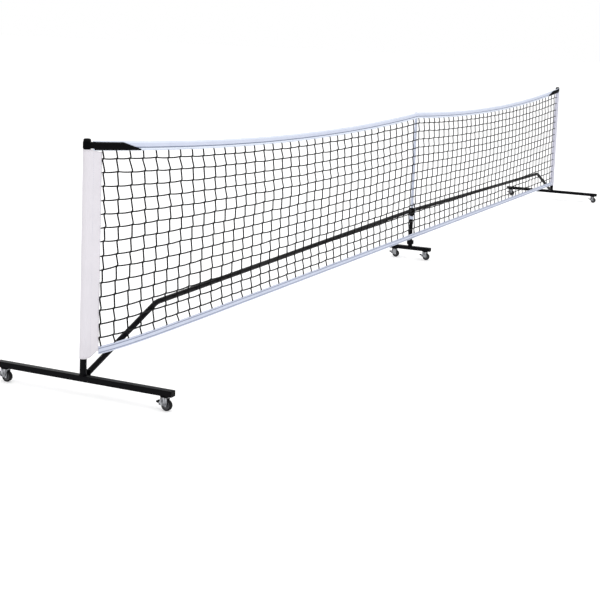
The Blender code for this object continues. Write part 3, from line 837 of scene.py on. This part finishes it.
def pedal_ridges(pivot):
    """Grip ridges across a brake pedal's pad."""
    points, faces = [], []
    rise = math.radians(PEDAL_RISE)
    along = Vector((0, math.cos(rise), math.sin(rise)))
    up = Vector((0, -math.sin(rise), math.cos(rise)))
    steps = RIDGE_STEPS
    for reach in RIDGE_REACHES:
        start = len(points)
        for x in (-PAD_HALF, PAD_HALF):
            for share in range(steps):
                angle = math.pi * share / (steps - 1)
                offset = along * (RIDGE * math.cos(angle)) + up * (RIDGE * math.sin(angle))
                points.append(Vector(pivot) + Vector((x, 0, 0)) + along * reach
                              + up * PAD_TOP + offset)
        faces += [(start + k, start + k + 1, start + steps + 1 + k, start + steps + k)
                  for k in range(steps - 1)]
        faces += [tuple(start + k for k in reversed(range(steps))),
                  tuple(start + steps + k for k in range(steps))]
    return mesh_from("ridges", points, faces)


def make_casters():
    tyre, hub = tyre_mesh(), hub_mesh()
    for name in CASTERS:
        low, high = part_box(name + "_wheel")
        centre = (low + high) / 2
        rolling = piece(name + "_tyre", moved(tyre, centre), RUBBER, name + "_wheel", 40)
        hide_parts(name + "_wheel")
        piece(name + "_hub", moved(hub, centre), HUB, name + "_wheel", 35)
        pivot = centre + Vector(PEDAL_PIVOT)
        piece(name + "_pedal_grip", pedal_ridges(pivot), PLASTIC, name + "_pedal", 60)


# ---------------------------------------------------------------- the CAD nodes' finish

FINISHES = {
    "black_steel": (POWDER, 0.0004),
    "black_plastic": (PLASTIC, 0.0005),
    "zinc": (ZINC, 0.00035),
    "dark_rubber": (RUBBER, 0.0),
    "fibreglass": (PLASTIC, 0.0),
    "white_band": (BAND, 0.0),
    "sleeve_cloth": (SLEEVE, 0.0),
    "black_webbing": (WEBBING, 0.0),
    "netting": (CORD_FIBRE, 0.0),
}


def finish_cad_nodes():
    """Node materials, welded smooth shading and worn-in edges for the nodes that stay."""
    slots = {part["node"]: part["material_slot"] for part in frame["record"]["subparts"]}
    for name, obj in frame["nodes"].items():
        material, rounding = FINISHES[slots[name]]
        obj.data.materials.clear()
        obj.data.materials.append(material)
        weld = obj.modifiers.new("weld", "WELD")
        weld.merge_threshold = 0.00001
        if rounding:
            bevel = obj.modifiers.new("edges", "BEVEL")
            bevel.width = rounding
            bevel.segments = 2
            bevel.limit_method = "ANGLE"
            bevel.angle_limit = math.radians(40)


# ---------------------------------------------------------------- studio

FLOOR_SIZE = 120
FLOOR_GAP = 0.0004         # keeps the floor just under the wheels
LIGHT_POWER = 150


def make_floor():
    bpy.ops.mesh.primitive_plane_add(size=FLOOR_SIZE, location=(0, 0, -FLOOR_GAP))
    floor = bpy.context.object
    floor.name = "floor"
    floor.data.materials.append(pale_floor())


def area_light(name, place, target, size):
    data = bpy.data.lights.new(name, "AREA")
    data.shape = "RECTANGLE"
    data.size, data.size_y = size
    data.energy = LIGHT_POWER
    obj = bpy.data.objects.new(name, data)
    bpy.context.scene.collection.objects.link(obj)
    obj.location = place
    obj.rotation_euler = (Vector(target) - Vector(place)).to_track_quat("-Z", "Y").to_euler()


def make_lights():
    world = bpy.data.worlds.new("studio")
    bpy.context.scene.world = world
    world.use_nodes = True
    background = world.node_tree.nodes["Background"]
    background.inputs["Color"].default_value = (1.0, 1.0, 1.0, 1)
    background.inputs["Strength"].default_value = 1.0
    area_light("key", (-5, -7, 6), (-1, 0, 0.4), (7, 4))
    area_light("top", (0, 2, 8), (0, 0, 0), (12, 6))
    bpy.context.scene.view_settings.view_transform = "Standard"


def make_camera():
    data = bpy.data.cameras.new("camera")
    data.sensor_width = CAMERA_SENSOR
    data.lens = CAMERA_LENS
    data.shift_y = CAMERA_SHIFT
    data.clip_start, data.clip_end = 0.05, 200
    obj = bpy.data.objects.new("camera", data)
    bpy.context.scene.collection.objects.link(obj)
    heading, pitch = math.radians(CAMERA_HEADING), math.radians(CAMERA_PITCH)
    view = Vector((math.cos(heading) * math.cos(pitch), math.sin(heading) * math.cos(pitch),
                   -math.sin(pitch)))
    level = view.to_track_quat("-Z", "Y")
    roll = Matrix.Rotation(math.radians(CAMERA_ROLL), 4, "Z")
    obj.matrix_world = Matrix.Translation(CAMERA_PLACE) @ level.to_matrix().to_4x4() @ roll
    bpy.context.scene.camera = obj


make_camera()
finish_cad_nodes()
netting = make_netting()
for side, sign in SIDES.items():
    make_side_sleeve(side, sign)
    make_corner_tab(side, sign)
make_bands()
make_centre_sleeve()
make_casters()
make_floor()
make_lights()
